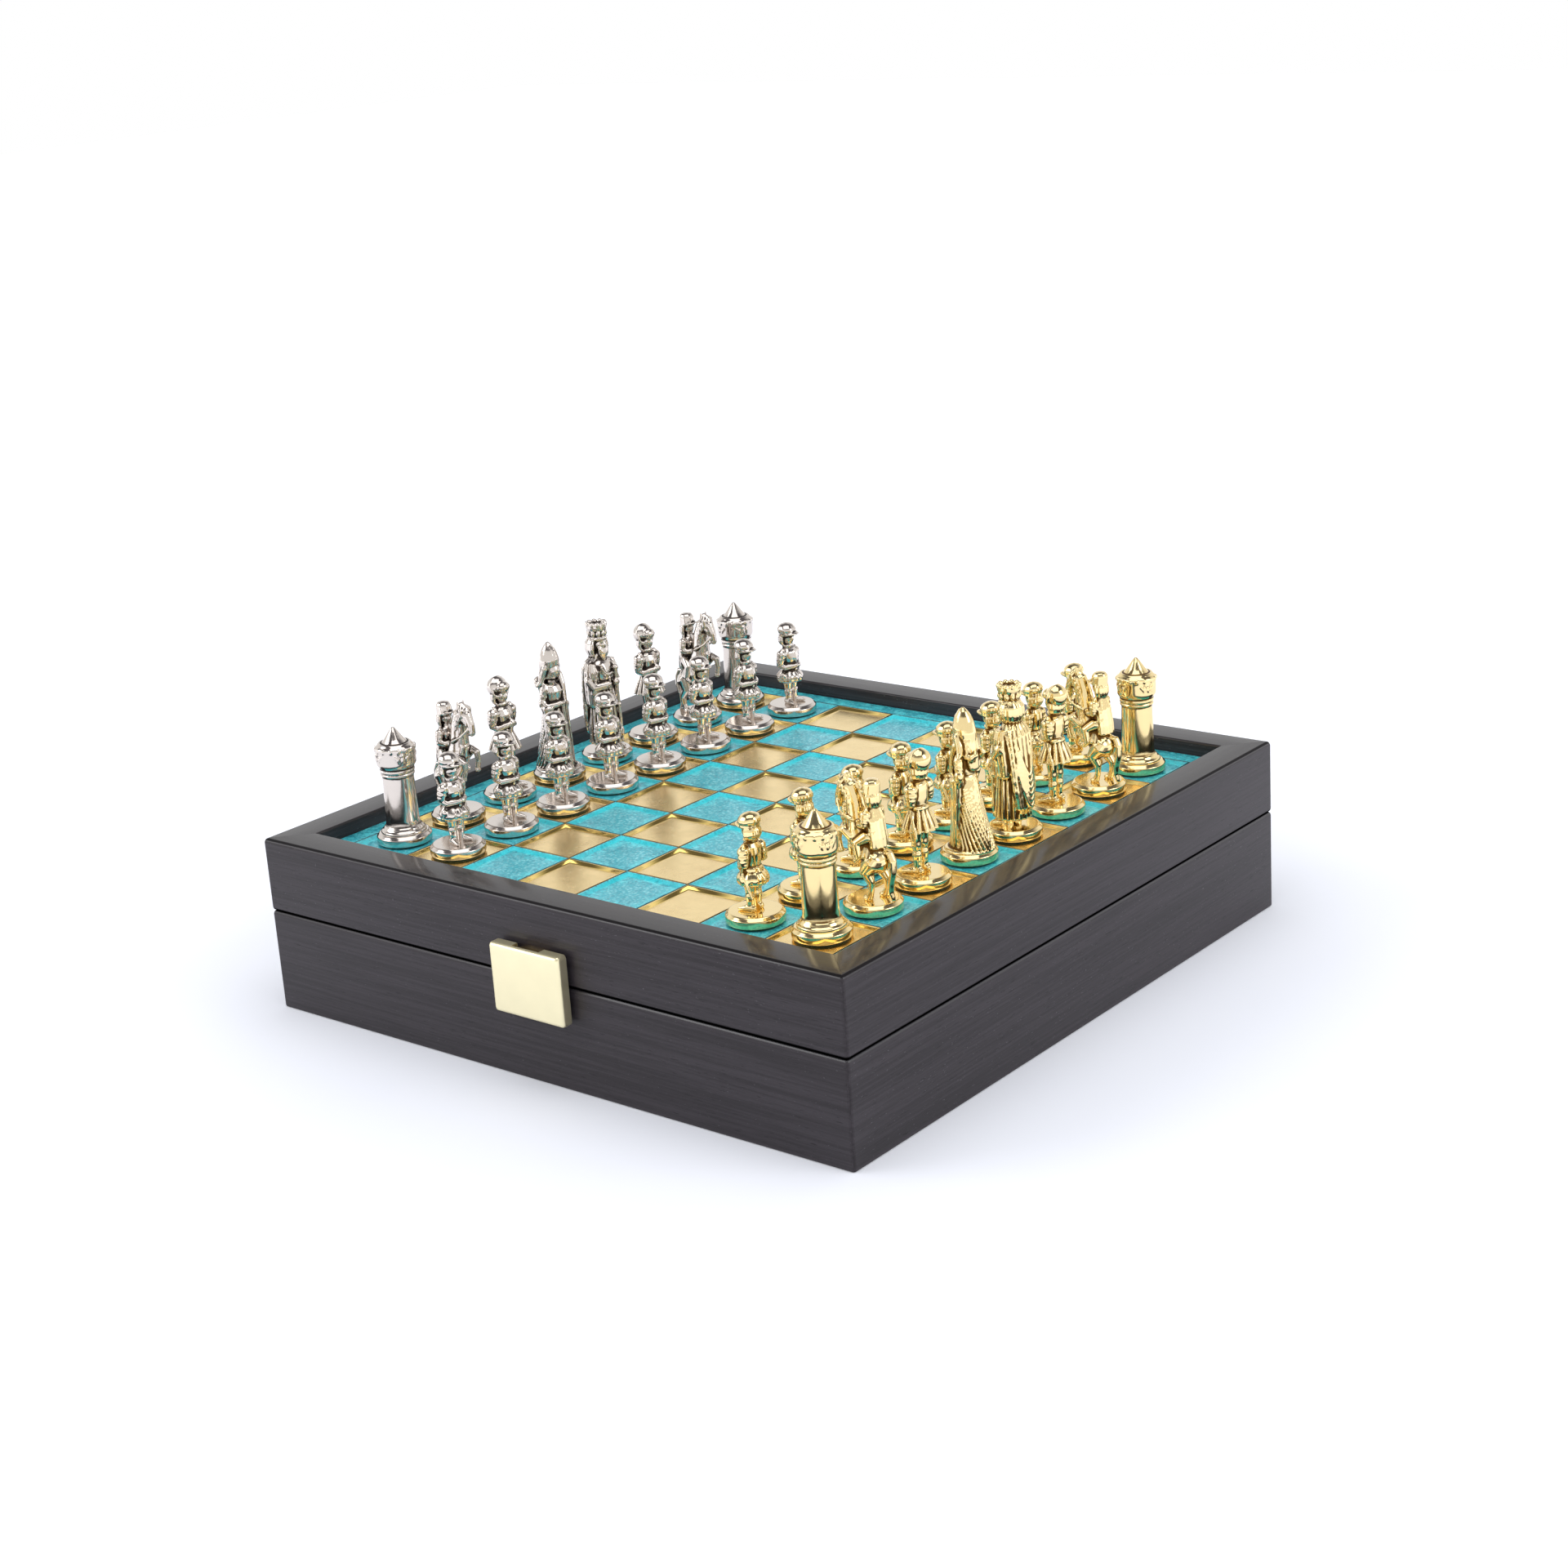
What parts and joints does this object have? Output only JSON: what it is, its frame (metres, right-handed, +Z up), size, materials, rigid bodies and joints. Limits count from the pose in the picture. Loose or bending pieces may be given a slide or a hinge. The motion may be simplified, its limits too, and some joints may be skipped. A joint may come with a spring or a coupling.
{
  "type": "chess board with storage box",
  "caption": "Square wooden case with a metal chess board sunk in its hinged lid, a flip clasp, felt-lined storage troughs and cast metal figure chessmen.",
  "frame": {"origin": "centre of the case's bottom face", "axes": "+Z up out of the board, -Y towards the clasp, +Y towards the hinges, +X towards the gold men"},
  "size_m": [0.2, 0.2085, 0.0874],
  "materials": {
    "rim_wood": "black satin lacquer over fine straight grain",
    "panel_wood": "plain fibreboard",
    "felt": "short felt pile",
    "turquoise_patina": "mottled patina under clear lacquer",
    "gold_squares": "satin",
    "brass_fittings": "polished",
    "clasp_brass": "satin front, polished edges",
    "magnet_steel": "plain",
    "gold_men": "polished casting, darker in its hollows",
    "silver_men": "polished casting, darker in its hollows"
  },
  "bodies": {
    "case": {"base_rail_front": "rim_wood", "base_rail_back": "rim_wood", "base_rail_left": "rim_wood", "base_rail_right": "rim_wood", "base_panel": "panel_wood", "base_lining": "felt", "tray_dividers": "felt", "hinge_base_leaves": "brass_fittings", "hinge_pins": "brass_fittings", "hinge_screws_base": "brass_fittings", "clasp_magnet": "magnet_steel"},
    "lid": {"lid_rail_front": "rim_wood", "lid_rail_back": "rim_wood", "lid_rail_left": "rim_wood", "lid_rail_right": "rim_wood", "lid_panel": "panel_wood", "lid_lining": "felt", "board_sheet": "turquoise_patina", "board_ridges": "turquoise_patina", "gold_squares": "gold_squares", "hinge_lid_leaves": "brass_fittings", "hinge_screws_lid": "brass_fittings", "clasp_bracket": "brass_fittings", "clasp_screws": "brass_fittings", "clasp_pin": "brass_fittings"},
    "clasp": {"clasp_cover": "clasp_brass", "clasp_armature": "magnet_steel"},
    "gold_rook_1": {"gold_rook_1": "gold_men"},
    "gold_pawn_1": {"gold_pawn_1": "gold_men"},
    "gold_knight_1": {"gold_knight_1": "gold_men"},
    "gold_pawn_2": {"gold_pawn_2": "gold_men"},
    "gold_bishop_1": {"gold_bishop_1": "gold_men"},
    "gold_pawn_3": {"gold_pawn_3": "gold_men"},
    "gold_queen": {"gold_queen": "gold_men"},
    "gold_pawn_4": {"gold_pawn_4": "gold_men"},
    "gold_king": {"gold_king": "gold_men"},
    "gold_pawn_5": {"gold_pawn_5": "gold_men"},
    "gold_bishop_2": {"gold_bishop_2": "gold_men"},
    "gold_pawn_6": {"gold_pawn_6": "gold_men"},
    "gold_knight_2": {"gold_knight_2": "gold_men"},
    "gold_pawn_7": {"gold_pawn_7": "gold_men"},
    "gold_rook_2": {"gold_rook_2": "gold_men"},
    "gold_pawn_8": {"gold_pawn_8": "gold_men"},
    "silver_rook_1": {"silver_rook_1": "silver_men"},
    "silver_pawn_1": {"silver_pawn_1": "silver_men"},
    "silver_knight_1": {"silver_knight_1": "silver_men"},
    "silver_pawn_2": {"silver_pawn_2": "silver_men"},
    "silver_bishop_1": {"silver_bishop_1": "silver_men"},
    "silver_pawn_3": {"silver_pawn_3": "silver_men"},
    "silver_queen": {"silver_queen": "silver_men"},
    "silver_pawn_4": {"silver_pawn_4": "silver_men"},
    "silver_king": {"silver_king": "silver_men"},
    "silver_pawn_5": {"silver_pawn_5": "silver_men"},
    "silver_bishop_2": {"silver_bishop_2": "silver_men"},
    "silver_pawn_6": {"silver_pawn_6": "silver_men"},
    "silver_knight_2": {"silver_knight_2": "silver_men"},
    "silver_pawn_7": {"silver_pawn_7": "silver_men"},
    "silver_rook_2": {"silver_rook_2": "silver_men"},
    "silver_pawn_8": {"silver_pawn_8": "silver_men"}
  },
  "joints": [
    {"name": "case_lid_hinge", "type": "hinge", "parent": "case", "child": "lid", "pos_m": [0, 0.10205, 0.0288], "axis": [-1, 0, 0], "range_deg": [0, 100]},
    {"name": "case_clasp_flip", "type": "hinge", "parent": "lid", "child": "clasp", "pos_m": [0.0013, -0.10243, 0.0368], "axis": [-1, 0, 0], "range_deg": [0, 90]},
    {"name": "gold_rook_1_lift", "type": "slide", "parent": "lid", "child": "gold_rook_1", "axis": [0, 0, 1], "range_m": [0, 0.05]},
    {"name": "gold_pawn_1_lift", "type": "slide", "parent": "lid", "child": "gold_pawn_1", "axis": [0, 0, 1], "range_m": [0, 0.05]},
    {"name": "gold_knight_1_lift", "type": "slide", "parent": "lid", "child": "gold_knight_1", "axis": [0, 0, 1], "range_m": [0, 0.05]},
    {"name": "gold_pawn_2_lift", "type": "slide", "parent": "lid", "child": "gold_pawn_2", "axis": [0, 0, 1], "range_m": [0, 0.05]},
    {"name": "gold_bishop_1_lift", "type": "slide", "parent": "lid", "child": "gold_bishop_1", "axis": [0, 0, 1], "range_m": [0, 0.05]},
    {"name": "gold_pawn_3_lift", "type": "slide", "parent": "lid", "child": "gold_pawn_3", "axis": [0, 0, 1], "range_m": [0, 0.05]},
    {"name": "gold_queen_lift", "type": "slide", "parent": "lid", "child": "gold_queen", "axis": [0, 0, 1], "range_m": [0, 0.05]},
    {"name": "gold_pawn_4_lift", "type": "slide", "parent": "lid", "child": "gold_pawn_4", "axis": [0, 0, 1], "range_m": [0, 0.05]},
    {"name": "gold_king_lift", "type": "slide", "parent": "lid", "child": "gold_king", "axis": [0, 0, 1], "range_m": [0, 0.05]},
    {"name": "gold_pawn_5_lift", "type": "slide", "parent": "lid", "child": "gold_pawn_5", "axis": [0, 0, 1], "range_m": [0, 0.05]},
    {"name": "gold_bishop_2_lift", "type": "slide", "parent": "lid", "child": "gold_bishop_2", "axis": [0, 0, 1], "range_m": [0, 0.05]},
    {"name": "gold_pawn_6_lift", "type": "slide", "parent": "lid", "child": "gold_pawn_6", "axis": [0, 0, 1], "range_m": [0, 0.05]},
    {"name": "gold_knight_2_lift", "type": "slide", "parent": "lid", "child": "gold_knight_2", "axis": [0, 0, 1], "range_m": [0, 0.05]},
    {"name": "gold_pawn_7_lift", "type": "slide", "parent": "lid", "child": "gold_pawn_7", "axis": [0, 0, 1], "range_m": [0, 0.05]},
    {"name": "gold_rook_2_lift", "type": "slide", "parent": "lid", "child": "gold_rook_2", "axis": [0, 0, 1], "range_m": [0, 0.05]},
    {"name": "gold_pawn_8_lift", "type": "slide", "parent": "lid", "child": "gold_pawn_8", "axis": [0, 0, 1], "range_m": [0, 0.05]},
    {"name": "silver_rook_1_lift", "type": "slide", "parent": "lid", "child": "silver_rook_1", "axis": [0, 0, 1], "range_m": [0, 0.05]},
    {"name": "silver_pawn_1_lift", "type": "slide", "parent": "lid", "child": "silver_pawn_1", "axis": [0, 0, 1], "range_m": [0, 0.05]},
    {"name": "silver_knight_1_lift", "type": "slide", "parent": "lid", "child": "silver_knight_1", "axis": [0, 0, 1], "range_m": [0, 0.05]},
    {"name": "silver_pawn_2_lift", "type": "slide", "parent": "lid", "child": "silver_pawn_2", "axis": [0, 0, 1], "range_m": [0, 0.05]},
    {"name": "silver_bishop_1_lift", "type": "slide", "parent": "lid", "child": "silver_bishop_1", "axis": [0, 0, 1], "range_m": [0, 0.05]},
    {"name": "silver_pawn_3_lift", "type": "slide", "parent": "lid", "child": "silver_pawn_3", "axis": [0, 0, 1], "range_m": [0, 0.05]},
    {"name": "silver_queen_lift", "type": "slide", "parent": "lid", "child": "silver_queen", "axis": [0, 0, 1], "range_m": [0, 0.05]},
    {"name": "silver_pawn_4_lift", "type": "slide", "parent": "lid", "child": "silver_pawn_4", "axis": [0, 0, 1], "range_m": [0, 0.05]},
    {"name": "silver_king_lift", "type": "slide", "parent": "lid", "child": "silver_king", "axis": [0, 0, 1], "range_m": [0, 0.05]},
    {"name": "silver_pawn_5_lift", "type": "slide", "parent": "lid", "child": "silver_pawn_5", "axis": [0, 0, 1], "range_m": [0, 0.05]},
    {"name": "silver_bishop_2_lift", "type": "slide", "parent": "lid", "child": "silver_bishop_2", "axis": [0, 0, 1], "range_m": [0, 0.05]},
    {"name": "silver_pawn_6_lift", "type": "slide", "parent": "lid", "child": "silver_pawn_6", "axis": [0, 0, 1], "range_m": [0, 0.05]},
    {"name": "silver_knight_2_lift", "type": "slide", "parent": "lid", "child": "silver_knight_2", "axis": [0, 0, 1], "range_m": [0, 0.05]},
    {"name": "silver_pawn_7_lift", "type": "slide", "parent": "lid", "child": "silver_pawn_7", "axis": [0, 0, 1], "range_m": [0, 0.05]},
    {"name": "silver_rook_2_lift", "type": "slide", "parent": "lid", "child": "silver_rook_2", "axis": [0, 0, 1], "range_m": [0, 0.05]},
    {"name": "silver_pawn_8_lift", "type": "slide", "parent": "lid", "child": "silver_pawn_8", "axis": [0, 0, 1], "range_m": [0, 0.05]}
  ]
}
